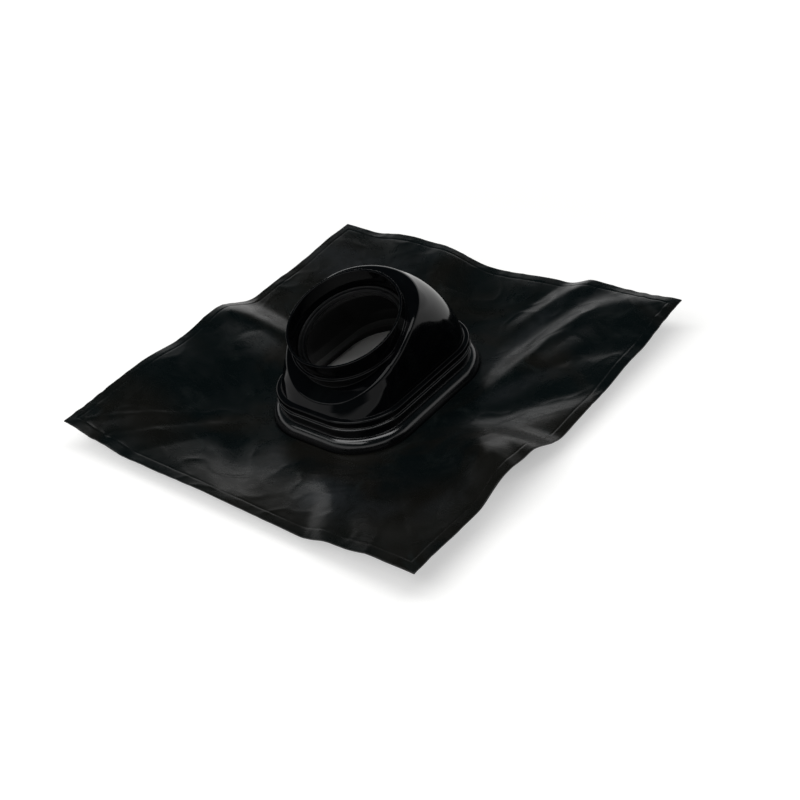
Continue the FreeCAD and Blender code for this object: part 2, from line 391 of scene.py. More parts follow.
@dataclass(frozen=True)
class MouldedGloss:
    """Black moulded plastic with a high gloss, faint flow marks and a little handling wear."""

    name: str
    deep: Colour = (0.0010, 0.0011, 0.0015)
    worn: Colour = (0.0020, 0.0024, 0.0027)
    dust: Colour = (0.020, 0.021, 0.021)
    rubbed: Colour = (0.009, 0.010, 0.011)
    gloss_low: float = 0.06
    gloss_high: float = 0.10
    specular: float = 0.13
    peel: float = 0.04

    def build(self) -> bpy.types.Material:
        """Builds the material."""
        finish = Finish(self.name, self.specular)
        flow = finish.levels(finish.cloud(14, 4, 0.6, 1.2), 0.42, 0.66)
        wear = finish.levels(finish.edges(), 0.52, 0.60, 0.0, 0.8)
        colour = finish.blend(flow, self.deep, self.worn)
        colour = finish.blend(finish.sum(wear, finish.cloud(130, 3), "MULTIPLY"), colour, self.rubbed)
        specks = finish.levels(finish.cells(520), 0.03, 0.07, 0.32, 0.0)
        lying = finish.levels(finish.upward(), 0.35, 0.95)
        colour = finish.blend(finish.sum(specks, lying, "MULTIPLY"), colour, self.dust)
        # gloss only here: a roughness that varies over the surface, not a colour
        gloss_and_painted_sheen = finish.levels(finish.cloud(46, 5, 0.62), 0.36, 0.68, self.gloss_low, self.gloss_high)
        rubs = finish.cloud(60, 4, 0.7, 0.4, finish.stretched((1.0, 9.0, 1.4), (0.4, 0.2, 0.5)))
        marks = finish.levels(rubs, 0.60, 0.74, 0.0, 0.10)
        skin = finish.bump(finish.cloud(620, 2, 0.5), self.peel, 0.0002)
        sink = finish.bump(finish.cloud(24, 2, 0.5), 0.25, 0.0012, skin)
        return finish.wear(colour, finish.sum(gloss_and_painted_sheen, marks), sink)


@dataclass(frozen=True)
class DressedSheet:
    """Black malleable sheet: an oily gloss over creased, hand-dressed rubber, with patches of painted sheen.
    """

    name: str
    cool: Colour = (0.0013, 0.0029, 0.0032)
    warm: Colour = (0.0044, 0.0042, 0.0034)
    pale: Colour = (0.0080, 0.0105, 0.0105)
    # painted sheen: a lighter colour that stands in for light reflected off the sheet
    gloss_and_painted_sheen: Colour = (0.0165, 0.0185, 0.0205)
    speck: Colour = (0.025, 0.027, 0.027)
    # where the painted sheen lies: patches placed where the sheet catches reflected light
    painted_sheen_patches: tuple[Patch, ...] = (
        Patch((92, -192), 44, 1.5, -20, 0.85),
        Patch((150, -196), 30, 1.8, 50, 0.45),
        Patch((-190, 175), 52, 2.0, 0, 0.75),
        Patch((-110, 200), 34, 2.2, 70, 0.40),
        Patch((104, 140), 22, 5.0, 80, 0.50),
        Patch((150, 60), 20, 3.0, 55, 0.45),
        Patch((-14, -160), 18, 3.2, -50, 0.35),
        Patch((-262, -90), 26, 2.0, 30, 0.35),
        Patch((176, 216), 34, 2.0, 40, 0.30),
        Patch((212, -150), 26, 2.4, 80, 0.30),
    )
    warm_places: tuple[Patch, ...] = (
        Patch((40, -225), 60, 3.4, 0),
        Patch((-180, -190), 55, 2.0, -20),
        Patch((190, -170), 70, 1.6, 60),
        Patch((-215, 190), 60, 1.8, 20),
    )
    gloss_low: float = 0.24
    gloss_high: float = 0.38
    specular: float = 0.15

    def build(self) -> bpy.types.Material:
        """Builds the material."""
        finish = Finish(self.name, self.specular)
        hue = finish.levels(finish.cloud(7, 3, 0.6, 0.8), 0.44, 0.62)
        bloom = finish.levels(finish.cloud(16, 5, 0.62, 1.5), 0.54, 0.78, 0.0, 0.75)
        colour = finish.blend(hue, self.cool, self.warm)
        colour = finish.blend(bloom, colour, self.pale)
        for place in self.warm_places:
            colour = finish.blend(finish.patch(place), colour, self.warm)
        # lays the painted sheen into its patches, broken up by a cloud
        for gloss_and_painted_sheen in self.painted_sheen_patches:
            cloud = finish.cloud(26, 4, 0.6, 1.2)
            spread = finish.levels(cloud, 0.30, 0.62, 0.25 * gloss_and_painted_sheen.strength, gloss_and_painted_sheen.strength)
            share = finish.sum(finish.patch(gloss_and_painted_sheen), spread, "MULTIPLY")
            colour = finish.blend(share, colour, self.gloss_and_painted_sheen)
        specks = finish.levels(finish.cells(430), 0.02, 0.06, 0.25, 0.0)
        colour = finish.blend(specks, colour, self.speck)
        gloss = finish.levels(finish.cloud(22, 5, 0.65, 0.9), 0.34, 0.70, self.gloss_low, self.gloss_high)
        rubs = finish.cloud(34, 4, 0.7, 0.6, finish.stretched((1.2, 7.0, 1.0), (0.0, 0.0, 0.7)))
        marks = finish.levels(rubs, 0.58, 0.74, 0.0, 0.12)
        crease = finish.cloud(95, 4, 0.6, 1.6, finish.stretched((1.0, 2.6, 1.0), (0.0, 0.0, -0.6)))
        relief = finish.bump(crease, 0.16, 0.0009)
        skin = finish.bump(finish.cloud(420, 3, 0.6), 0.06, 0.0003, relief)
        return finish.wear(colour, finish.sum(gloss, marks), skin)


@dataclass(frozen=True)
class SealRubber:
    """Soft black sealing rubber with a fine grain."""

    name: str
    deep: Colour = (0.0012, 0.0013, 0.0015)
    bloom: Colour = (0.0040, 0.0041, 0.0042)
    gloss_low: float = 0.28
    gloss_high: float = 0.48
    specular: float = 0.15

    def build(self) -> bpy.types.Material:
        """Builds the material."""
        finish = Finish(self.name, self.specular)
        colour = finish.blend(finish.levels(finish.cloud(60, 4), 0.45, 0.75), self.deep, self.bloom)
        gloss = finish.levels(finish.cloud(150, 3), 0.3, 0.7, self.gloss_low, self.gloss_high)
        return finish.wear(colour, gloss, finish.bump(finish.cloud(1400, 2), 0.2, 0.0002))


# ---------------------------------------------------------------- shared outline of ring and hood


@dataclass(frozen=True)
class Station:
    """One place on the outside of the ring's wall in plan, with its outward direction."""

    place: Vector
    outward: Vector


@dataclass(frozen=True)
class WallOutline:
    """Rounded rectangle that the ring's wall follows in plan, in millimetres."""

    half_width: float = 80.0
    half_length: float = 110.0
    corner: float = 57.0
    corner_steps: int = 44
    width_steps: int = 22
    length_steps: int = 50

    def stations(self) -> list[Station]:
        """Stations all round the wall, anticlockwise from the back end of the straight at +X.

        Returns:
            The stations, evenly spaced on each corner and on each straight run.
        """
        found: list[Station] = []
        straight_x, straight_y = self.half_width - self.corner, self.half_length - self.corner
        signs = ((1, 1), (-1, 1), (-1, -1), (1, -1))
        for quarter, (side_x, side_y) in enumerate(signs):
            middle = Vector((side_x * straight_x, side_y * straight_y, 0))
            start = math.pi / 2 * quarter
            for step in range(self.corner_steps):
                turn = start + math.pi / 2 * step / self.corner_steps
                out = Vector((math.cos(turn), math.sin(turn), 0))
                found.append(Station(middle + out * self.corner, out))
            end = start + math.pi / 2
            out = Vector((math.cos(end), math.sin(end), 0))
            next_x, next_y = signs[(quarter + 1) % 4]
            following = Vector((next_x * straight_x, next_y * straight_y, 0))
            steps = self.width_steps if quarter % 2 == 0 else self.length_steps
            for step in range(steps):
                found.append(Station(middle.lerp(following, step / steps) + out * self.corner, out))
        return found

    def point(self, station: Station, outset: float, height: float) -> Vector:
        """Point beside a station, by outset from the wall and height."""
        return station.place + station.outward * outset + Vector((0, 0, height))

    def angle(self, station: Station, outset: float) -> float:
        """Angle by which the hood's oval sections know a station."""
        place = station.place + station.outward * outset
        return math.atan2(place.y / (self.half_length + outset), place.x / (self.half_width + outset))

    def towards(self, angle: float, outset: float) -> Vector:
        """Point of a parallel outline that lies towards an angle.

        Args:
            angle: angle in the outline's own proportions, 0 towards +X.
            outset: how far outside the wall the outline runs.

        Returns:
            The point, at height 0.
        """
        half_x, half_y = self.half_width + outset, self.half_length + outset
        radius = self.corner + outset
        aim_x, aim_y = abs(half_x * math.cos(angle)), abs(half_y * math.sin(angle))
        reach = min(half_x / max(aim_x, 1e-9), half_y / max(aim_y, 1e-9))
        corner_x, corner_y = half_x - radius, half_y - radius
        if aim_x * reach > corner_x and aim_y * reach > corner_y:
            length = aim_x ** 2 + aim_y ** 2
            middle = (aim_x * corner_x + aim_y * corner_y) / length
            rest = (corner_x ** 2 + corner_y ** 2 - radius ** 2) / length
            reach = middle + math.sqrt(max(middle ** 2 - rest, 0.0))
        across, along = math.copysign(aim_x, math.cos(angle)), math.copysign(aim_y, math.sin(angle))
        return Vector((across * reach, along * reach, 0))


# ---------------------------------------------------------------- base ring


@dataclass
class BaseRing:
    """Flat flange under the apron, flare, wall and rib."""

    outline: WallOutline
    wall: float = 4.0
    top: float = 34.0
    flange_reach: float = 20.0
    flange_thickness: float = 2.0
    toe_z: float = 4.6
    flare_reach: float = 10.0
    flare_rise: float = 14.0
    flare_wall: float = 3.0
    flare_steps: int = 14
    rib_low: float = 27.0
    rib_top: float = 31.0
    rib_out: float = 2.2
    rib_foot: float = 0.4
    rib_slant: float = 0.6

    def section(self, station: Station) -> list[Vector]:
        """Closed section of the ring's wall at a station."""

        def at(out: float, height: float, *rounded: float) -> Bend:
            return Bend(self.outline.point(station, out, height), *rounded)

        flare = []
        for step in range(self.flare_steps + 1):
            turn = math.pi / 2 * step / self.flare_steps
            flare.append((self.flare_reach * math.cos(turn), self.toe_z + self.flare_rise * math.sin(turn)))
        foot_inside = self.flare_reach - self.wall
        bends = [
            at(self.flange_reach, 0, 0.3),
            at(self.flange_reach, self.flange_thickness, 0.5),
            at(self.flare_reach, self.flange_thickness, 0.3, 2),
            at(*flare[0], 0.5, 4),
        ]
        bends += [at(out, height) for out, height in flare[1:]]
        bends += [
            at(0, self.rib_low - self.rib_foot, 1.0, 3),
            at(self.rib_out, self.rib_low + self.rib_slant, 1.4, 6),
            at(self.rib_out, self.rib_top - self.rib_slant, 1.4, 6),
            at(0, self.rib_top, 0.8, 3),
            at(0, self.top, 0.7, 4),
            at(-self.wall, self.top, 0.5, 3, 4),
        ]
        for out, height in reversed(flare):
            bends.append(at(out - self.wall, height - self.flare_wall))
        bends.append(at(foot_inside, 0, 0.4, 3))
        return section_loop(bends)

    def build(self, finish: bpy.types.Material) -> bpy.types.Object:
        """Builds and dresses the ring."""
        sections = [self.section(station) for station in self.outline.stations()]
        return dressed("ring_moulding", sections, Piece.BASE_RING, finish)


# ---------------------------------------------------------------- mouth, hood and seal


@dataclass(frozen=True)
class Mouth:
    """Round mouth that the pipe goes in by, tilted towards -Y, in millimetres."""

    centre: Vector = Vector((0.0, -33.0, 117.0))
    tilt: float = 20.0
    bore: float = 64.6
    wall: float = 2.8
    depth: float = 32.0

    @property
    def axis(self) -> Vector:
        """Direction out of the mouth."""
        turn = math.radians(self.tilt)
        return Vector((0, -math.sin(turn), math.cos(turn)))

    @property
    def slope(self) -> Vector:
        """Direction up the slope of the mouth's plane."""
        turn = math.radians(self.tilt)
        return Vector((0, math.cos(turn), math.sin(turn)))

    def point(self, radius: float, angle: float, height: float) -> Vector:
        """Point by radius, angle and height measured from the mouth's plane."""
        across = Vector((radius * math.cos(angle), 0, 0))
        return self.centre + self.axis * height + across + self.slope * (radius * math.sin(angle))

    def height(self, place: Vector) -> float:
        """Height of a point over the mouth's plane."""
        return (place - self.centre).dot(self.axis)

    def radius(self, place: Vector) -> float:
        """Distance of a point from the mouth's axis."""
        off = place - self.centre
        return (off - self.axis * off.dot(self.axis)).length


@dataclass
class Hood:
    """Dome with a foot flange, spigot, sloping face, bead, socket and inner ledge."""

    outline: WallOutline
    mouth: Mouth
    wall: float = 3.0
    ring_top: float = 34.0
    foot_height: float = 6.5
    foot_out: float = 1.6
    step: float = 4.0
    sink: float = 2.0
    spigot_depth: float = 9.0
    spigot_out: float = -4.3
    spigot_wall: float = 2.4
    spigot_root: float = 1.5
    rim_half_width: float = 77.0
    rim_front: Spot = (-101.0, 49.0)
    rim_slope: float = 35.0
    rim_front_reach: float = 90.0
    rim_back: Spot = (54.0, 131.0)
    rim_radius: float = 7.0
    rim_clear: float = 10.0
    bulge_back: float = 12.0
    bulge_side: float = 3.0
    bulge_rise: float = 0.5
    bead_drop: float = 20.0
    bead_height: float = 3.0
    bead_out: float = 3.0
    skirt: float = 8.0
    ledge_reach: float = 6.5
    ledge_thickness: float = 3.0
    dome_rows: int = 18
    face_rows: int = 8

    @property
    def foot_z(self) -> float:
        """Height of the foot flange's top."""
        return self.ring_top + self.foot_height

    def face_height(self, along: float) -> float:
        """Height of the sloping face: straight over its front half, bending level at its back."""
        slope = math.radians(self.rim_slope)
        wide_y = self.rim_front[0] + self.rim_front_reach * math.cos(slope)
        wide_z = self.rim_front[1] + self.rim_front_reach * math.sin(slope)
        straight = wide_z + (along - wide_y) * math.tan(slope)
        if along < wide_y:
            return straight
        run = self.rim_back[0] - wide_y
        drop = run * math.tan(slope) - (self.rim_back[1] - wide_z)
        return straight - ((along - wide_y) / run) ** 2 * drop

    def rim_point(self, angle: float, inset: float) -> Vector:
        """Point on the rim, which is where the dome meets the sloping face.

        Args:
            angle: angle round the oval.
            inset: how far inside the outer surface.

        Returns:
            The point.
        """
        wide_y = self.rim_front[0] + self.rim_front_reach * math.cos(math.radians(self.rim_slope))
        end_y = self.rim_front[0] + inset if math.sin(angle) < 0 else self.rim_back[0] - inset
        along = wide_y + abs(math.sin(angle)) * (end_y - wide_y)
        across = (self.rim_half_width - inset) * math.cos(angle)
        return Vector((across, along, self.face_height(along) - inset))

    def neck_point(self, angle: float, inset: float) -> Vector:
        """Point in the middle of the socket's wall at which the sloping face ends."""
        radius = self.mouth.bore + self.mouth.wall / 2 - inset

        def past_face(share: float) -> float:
            place = self.mouth.point(radius, angle, radius * (share - 1))
            return place.z - self.face_height(place.y) + inset

        return self.mouth.point(radius, angle, radius * (self.share_at(0.0, past_face) - 1))

    def dome_point(self, station: Station, angle: float, share: float, inset: float) -> Vector:
        """Point on the dome, from its foot at share 0 to its rim at share 1."""
        foot = self.outline.point(station, -self.step - inset, self.foot_z - self.sink)
        backness = max(0.0, math.sin(angle)) ** 2
        widest = self.bulge_side * math.cos(angle) ** 2 + self.bulge_back * backness
        swell = widest * 4 * share * (1 - share)
        outward = Vector((math.cos(angle), math.sin(angle), self.bulge_rise * backness))
        return foot * (1 - share) + self.rim_point(angle, inset) * share + outward * swell

    def share_at(self, height: float, along: Callable[[float], float]) -> float:
        """Share at which a rising function first reaches a height."""
        low, high = 0.0, 1.0
        for _ in range(24):
            middle = (low + high) / 2
            if along(middle) < height:
                low = middle
            else:
                high = middle
        return (low + high) / 2

    def crossing(self, start: Vector, end: Vector, radius: float) -> Vector:
        """Point of a straight run at which it comes within a radius of the mouth's axis."""
        share = self.share_at(-radius, lambda part: -self.mouth.radius(start.lerp(end, part)))
        return start.lerp(end, share)

    def section(self, station: Station) -> list[Vector]:
        """Closed section of the hood's wall at a station."""
        mouth = self.mouth
        angle = self.outline.angle(station, -self.step)
        start = self.share_at(self.foot_z, lambda share: self.dome_point(station, angle, share, 0).z)
        foot_place = self.dome_point(station, angle, start, 0)
        rim_place = self.dome_point(station, angle, 1, 0)
        rows_end = 1 - min(self.rim_clear / (rim_place - foot_place).length, 0.7)
        outer = [self.dome_point(station, angle, start + (1 - start) * rows_end * row / self.dome_rows, 0)
                 for row in range(self.dome_rows + 1)] + [rim_place]
        socket = mouth.bore + mouth.wall
        bead = socket + self.bead_out
        neck = self.neck_point(angle, 0)
        at_bead = mouth.height(self.crossing(outer[-1], neck, bead))
        at_wall = mouth.height(self.crossing(outer[-1], neck, socket))
        under = -self.bead_drop - self.bead_height
        shown = min(max(under - at_bead, 0.0), 1.0)
        foot_radius = bead + (socket - bead) * shown
        foot = self.crossing(outer[-1], neck, foot_radius)
        inner_angle = self.outline.angle(station, -self.step - self.wall)
        inner_rim = self.rim_point(inner_angle, self.wall)
        inner_wall = self.crossing(inner_rim, self.neck_point(inner_angle, self.wall), socket)
        ledge_low = -mouth.depth - self.ledge_thickness
        skirt_low = ledge_low - self.skirt
        inner_spigot = self.spigot_out - self.spigot_wall
        rows = self.dome_rows // 2
        dome_inside = [self.dome_point(station, inner_angle, row / rows, self.wall)
                       for row in range(rows - 1, 0, -1)]

        def at(out: float, height: float, *rounded: float) -> Bend:
            return Bend(self.outline.point(station, out, height), *rounded)

        def by_mouth(radius: float, height: float, *rounded: float) -> Bend:
            return Bend(mouth.point(radius, angle, height), *rounded)

        bends = [
            at(self.foot_out, self.ring_top, 0.7, 4, 2),
            at(self.foot_out, self.foot_z, 2.2, 8, 2),
            Bend(outer[0], 1.2, 4),
            *[Bend(point) for point in outer[1:-1]],
            Bend(outer[-1], self.rim_radius, 10, self.face_rows),
            Bend(foot, 0.8, 3, 3),
            by_mouth(foot_radius, max(under, mouth.height(foot) + 0.05), 0.5, 3),
            by_mouth(bead, max(under, at_bead + 0.10), 0.9, 4),
            by_mouth(bead, max(-self.bead_drop, at_bead + 0.15), 0.9, 5),
            by_mouth(socket, max(-self.bead_drop, at_wall + 0.05), 0.6, 3, 6),
            by_mouth(socket, 0, 0.5, 5),
            by_mouth(mouth.bore, 0, 0.5, 5, 8),
            by_mouth(mouth.bore, -mouth.depth, 0.6, 3, 2),
            by_mouth(mouth.bore - self.ledge_reach, -mouth.depth, 0.6, 4),
            by_mouth(mouth.bore - self.ledge_reach, ledge_low, 0.6, 4, 2),
            by_mouth(mouth.bore, ledge_low, 0.4, 2, 2),
            by_mouth(mouth.bore, skirt_low, 0.5, 3),
            Bend(mouth.point(socket, inner_angle, skirt_low), 0.6, 3, 2),
            Bend(mouth.point(socket, inner_angle, mouth.height(inner_wall)), 0.8, 3, 4),
            Bend(inner_rim, 1.5, 5),
            *[Bend(point) for point in dome_inside],
            at(inner_spigot, self.foot_z - self.spigot_root, 0.5, 3, 3),
            at(inner_spigot, self.ring_top - self.spigot_depth, 0.6, 3),
            at(self.spigot_out, self.ring_top - self.spigot_depth, 0.6, 3, 3),
            at(self.spigot_out, self.ring_top, 0.2, 2, 2),
        ]
        return section_loop(bends)

    def build(self, finish: bpy.types.Material) -> bpy.types.Object:
        """Builds and dresses the hood."""
        sections = [self.section(station) for station in self.outline.stations()]
        return dressed("hood_moulding", sections, Piece.HOOD, finish)


@dataclass
class PipeSeal:
    """Soft ring on the socket's ledge, with two small sealing ribs in its bore."""

    mouth: Mouth
    bore: float = 55.5
    outer: float = 64.3
    height: float = 8.0
    chamfer: float = 1.2
    rib: float = 0.7
    groove: tuple[float, ...] = (2.0, 2.6, 4.0, 4.6)
    groove_depth: float = 0.9
    rib_drops: tuple[float, ...] = (2.4, 5.2)
    rib_half_foot: float = 1.2
    rib_half_top: float = 0.4
    turns: int = 200

    def section(self, angle: float) -> list[Vector]:
        """Closed section of the seal at an angle."""
        low = -self.mouth.depth
        high = low + self.height

        def at(radius: float, height: float, *rounded: float) -> Bend:
            return Bend(self.mouth.point(radius, angle, height), *rounded)

        bends = [
            at(self.outer, low, 0.5, 3, 2),
            at(self.outer, high, 0.9, 5),
            at(self.outer - self.groove[0], high, 0.8, 3),
            at(self.outer - self.groove[1], high - self.groove_depth, 0.6, 3),
            at(self.outer - self.groove[2], high - self.groove_depth, 0.6, 3),
            at(self.outer - self.groove[3], high, 0.8, 3),
            at(self.bore + self.chamfer, high, 0.8, 4),
        ]
        for middle in (high - drop for drop in self.rib_drops):
            bends += [
                at(self.bore + self.rib, middle + self.rib_half_foot, 0.5, 3),
                at(self.bore, middle + self.rib_half_top, 0.4, 4),
                at(self.bore, middle - self.rib_half_top, 0.4, 4),
                at(self.bore + self.rib, middle - self.rib_half_foot, 0.5, 3),
            ]
        bends.append(at(self.bore + self.rib, low, 0.5, 3, 2))
        return section_loop(bends)

    def build(self, finish: bpy.types.Material) -> bpy.types.Object:
        """Builds and dresses the seal."""
        sections = [self.section(2 * math.pi * step / self.turns) for step in range(self.turns)]
        return dressed("seal_ring", sections, Piece.PIPE_SEAL, finish)


# ---------------------------------------------------------------- apron


@dataclass(frozen=True)
class Fold:
    """Ridge or valley pressed into the apron, in millimetres.

    Attributes:
        start: where it starts in plan.
        end: where it ends in plan.
        height: how far it stands up; a valley's is negative.
        half_width: how wide it is to each side.
    """

    start: Spot
    end: Spot
    height: float
    half_width: float

    def at(self, x: float, y: float) -> float:
        """Height that the fold adds at a point in plan."""
        dx, dy = self.end[0] - self.start[0], self.end[1] - self.start[1]
        length = math.hypot(dx, dy)
        along = ((x - self.start[0]) * dx + (y - self.start[1]) * dy) / length
        across = ((x - self.start[0]) * dy - (y - self.start[1]) * dx) / length
        past = max(-along, along - length, 0.0)
        return self.height * math.exp(-(across ** 2 + past ** 2) / self.half_width ** 2)


Lifts = tuple[Spot, ...]


@dataclass(frozen=True)
class Wrinkles:
    """Fine curved wrinkles round a place, in millimetres.

    Attributes:
        middle: the place in plan.
        wave: distance from one wrinkle to the next.
        reach: how far they run.
    """

    middle: Spot
    wave: float
    reach: float


@dataclass
class Apron:
    """Wavy square sheet with a hemmed border and the hole that the ring's flare comes up through."""

    outline: WallOutline
    size: float = 500.0
    thickness: float = 2.0
    hole_outset: float = 10.3
    flat_outset: float = 22.0
    land: float = 2.3
    lowest: float = 0.5
    hem: float = 11.0
    hem_rise: float = 0.3
    hem_ramp: float = 1.2
    groove_out: float = 0.9
    groove_width: float = 1.1
    groove_depth: float = 0.25
    hem_rows: tuple[float, ...] = (
        17.0, 15.4, 14.2, 13.2, 12.5, 11.9, 11.3, 10.6, 9.8, 8.6, 6.6, 4.2, 2.2, 1.0)
    edge_rows: tuple[Spot, ...] = ((0.35, 0.94), (0.1, 0.80), (0.0, 0.5), (0.1, 0.18), (0.35, 0.04))
    wrinkles: tuple[Wrinkles, ...] = (Wrinkles((-262, -262), 15, 120), Wrinkles((258, 262), 17, 105))
    wrinkle_height: float = 0.45
    wrinkle_bend: float = 4.0
    side_steps: int = 168
    rows: int = 58
    under_rows: int = 24
    under_hem_rows: tuple[float, ...] = (1.0, 6.0)
    front: Lifts = ((-250, 37), (-200, 28), (-150, 21), (-20, 21), (100, 18), (150, 28), (205, 35), (250, 37))
    right: Lifts = ((-250, 37), (-150, 33), (-100, 45), (-60, 41), (0, 21), (60, 23), (150, 29), (250, 40))
    back: Lifts = ((-250, 27), (-210, 26), (-135, 34), (-90, 32), (-10, 17), (95, 24), (140, 36), (190, 35),
                   (250, 40))
    left: Lifts = ((-250, 37), (-120, 40), (-70, 36), (-5, 41), (65, 20), (120, 21), (250, 27))
    folds: tuple[Fold, ...] = (
        Fold((110, 60), (185, 225), 12, 26),
        Fold((60, -150), (125, -235), 9, 24),
        Fold((-70, -165), (-10, -235), -7, 26),
        Fold((120, -40), (215, -75), 8, 24),
        Fold((-120, 20), (-225, 5), 9, 30),
        Fold((-30, 150), (-60, 225), 8, 34),
        Fold((160, 20), (235, 70), -6, 26),
    )

    def lifts(self, side: Side) -> Lifts:
        """Heights of the border along one side."""
        return getattr(self, side.value)

    def border_height(self, x: float, y: float) -> float:
        """Height of the border where the ray from the centre through a point meets it."""
        scale = self.size / 2 / max(abs(x), abs(y))
        if abs(x) >= abs(y):
            side, place = (Side.RIGHT if x > 0 else Side.LEFT), y * scale
        else:
            side, place = (Side.BACK if y > 0 else Side.FRONT), x * scale
        lifts = self.lifts(side)
        for (start, low), (end, high) in zip(lifts, lifts[1:]):
            if place <= end:
                share = (place - start) / (end - start)
                return low + (high - low) * (1 - math.cos(math.pi * share)) / 2
        return lifts[-1][1]

    def flatness(self, x: float, y: float) -> float:
        """0 on the flat land round the ring, rising to 1 at the border."""
        corner = self.outline.corner + self.flat_outset
        over_x = max(abs(x) - (self.outline.half_width - self.outline.corner), 0.0)
        over_y = max(abs(y) - (self.outline.half_length - self.outline.corner), 0.0)
        outside = math.hypot(over_x, over_y) - corner
        if outside <= 0:
            return 0.0
        return outside / (outside + self.size / 2 - max(abs(x), abs(y)))

    def creases(self, x: float, y: float, share: float) -> float:
        """Small ripples and creases of the sheet at a point, faded out beside the ring."""
        fade = min(share / 0.25, 1.0)
        slow = noise.noise(Vector((x / 58.0, y / 58.0, 3.1)))
        turned = noise.noise(Vector(((x + y) / 30.0, (x - y) / 92.0, 8.4)))
        sharp = 1.0 - abs(noise.noise(Vector((x / 34.0 + 0.8 * slow, y / 34.0 - 0.6 * slow, 5.7)))) * 2.2
        fine = noise.noise(Vector((x / 11.0, y / 13.0, 1.9)))
        relief = 1.1 * slow + 0.7 * turned + 0.55 * max(sharp, 0.0) ** 3 + 0.10 * fine
        return fade * (relief + self.arcs(x, y))

    def arcs(self, x: float, y: float) -> float:
        """Fine curved wrinkles about the two corners that were held."""
        total = 0.0
        for held in self.wrinkles:
            away = math.hypot(x - held.middle[0], y - held.middle[1])
            if away < held.reach:
                bent = away + self.wrinkle_bend * noise.noise(Vector((x / 40.0, y / 40.0, 2.2)))
                wave = math.sin(2 * math.pi * bent / held.wave)
                total += self.wrinkle_height * wave * math.sin(math.pi * away / held.reach) ** 2
        return total

    def height(self, x: float, y: float) -> float:
        """Height of the sheet's underside at a point in plan."""
        share = self.flatness(x, y)
        if share == 0:
            return self.land
        eased = (1 - math.cos(math.pi * share)) / 2
        fade = math.sin(math.pi * share)
        folded = fade * sum(fold.at(x, y) for fold in self.folds)
        raised = eased * (self.border_height(x, y) - self.land) + folded
        return max(self.land + raised + self.creases(x, y, share), self.lowest)

    def hem_height(self, inside: float) -> float:
        """Extra height of the folded hem, and the groove where it ends.

        Args:
            inside: distance in from the border.

        Returns:
            The height to add to the top.
        """
        if inside < self.hem - self.hem_ramp:
            return self.hem_rise
        if inside < self.hem:
            return self.hem_rise * (self.hem - inside) / self.hem_ramp
        groove = (inside - self.hem - self.groove_out) / self.groove_width
        return -self.groove_depth * math.exp(-groove ** 2)

    def border_points(self) -> list[Vector]:
        """Points all round the square border, anticlockwise from the front left corner."""
        half, steps = self.size / 2, self.side_steps
        corners = [Vector((x * half, y * half, 0)) for x, y in SQUARE]
        return [corners[side].lerp(corners[(side + 1) % 4], step / steps)
                for side in range(4) for step in range(steps)]

    def section(self, border: Vector) -> list[Vector]:
        """Closed section of the sheet from the hole to the border and back underneath.

        Args:
            border: the border's point in plan that the section runs to.

        Returns:
            The section's points.
        """
        half = self.size / 2

        def within(inside: float) -> Vector:
            return border * ((half - inside) / half)

        def raised(place: Vector, rise: float) -> Vector:
            return Vector((place.x, place.y, self.height(place.x, place.y) + rise))

        hole = self.outline.towards(math.atan2(border.y, border.x), self.hole_outset)
        last = within(self.hem_rows[0])
        top = [raised(hole.lerp(last, row / self.rows), self.thickness) for row in range(self.rows)]
        top += [raised(within(inside), self.thickness + self.hem_height(inside)) for inside in self.hem_rows]
        low = self.height(border.x, border.y)
        full = self.thickness + self.hem_rise
        edge = []
        for inside, share in self.edge_rows:
            place = within(inside)
            edge.append(Vector((place.x, place.y, low + full * share)))
        under = [raised(within(inside), 0.0) for inside in self.under_hem_rows]
        for row in range(self.under_rows, -1, -1):
            under.append(raised(hole.lerp(last, row / self.under_rows), 0.0))
        return top + edge + under

    def build(self, finish: bpy.types.Material) -> bpy.types.Object:
        """Builds and dresses the apron."""
        sections = [self.section(border) for border in self.border_points()]
        return dressed("apron_sheet", sections, Piece.APRON, finish, flip=True)


# ---------------------------------------------------------------- studio


@dataclass(frozen=True)
class Softbox:
    """Rectangular soft lamp that looks at the object.

    Attributes:
        name: the lamp's name.
        towards: direction from the object to the lamp.
        distance: in metres.
        width: in metres, along its longer side.
        depth: in metres, along its shorter side.
        radiance: how bright its face is, where 1 is white.
    """

    name: str
    towards: Vector
    distance: float
    width: float
    depth: float
    radiance: float

    def build(self) -> bpy.types.Object:
        """Adds the lamp to the scene."""
        light = bpy.data.lights.new(self.name, "AREA")
        light.shape = "RECTANGLE"
        light.size = self.width
        light.size_y = self.depth
        light.energy = self.radiance * math.pi * self.width * self.depth
        lamp = bpy.data.objects.new(self.name, light)
        aim = self.towards.normalized()
        lamp.rotation_euler = aim.to_track_quat("Z", "Y").to_matrix().to_4x4().to_euler()
        lamp.location = aim * self.distance
        bpy.context.scene.collection.objects.link(lamp)
        return lamp


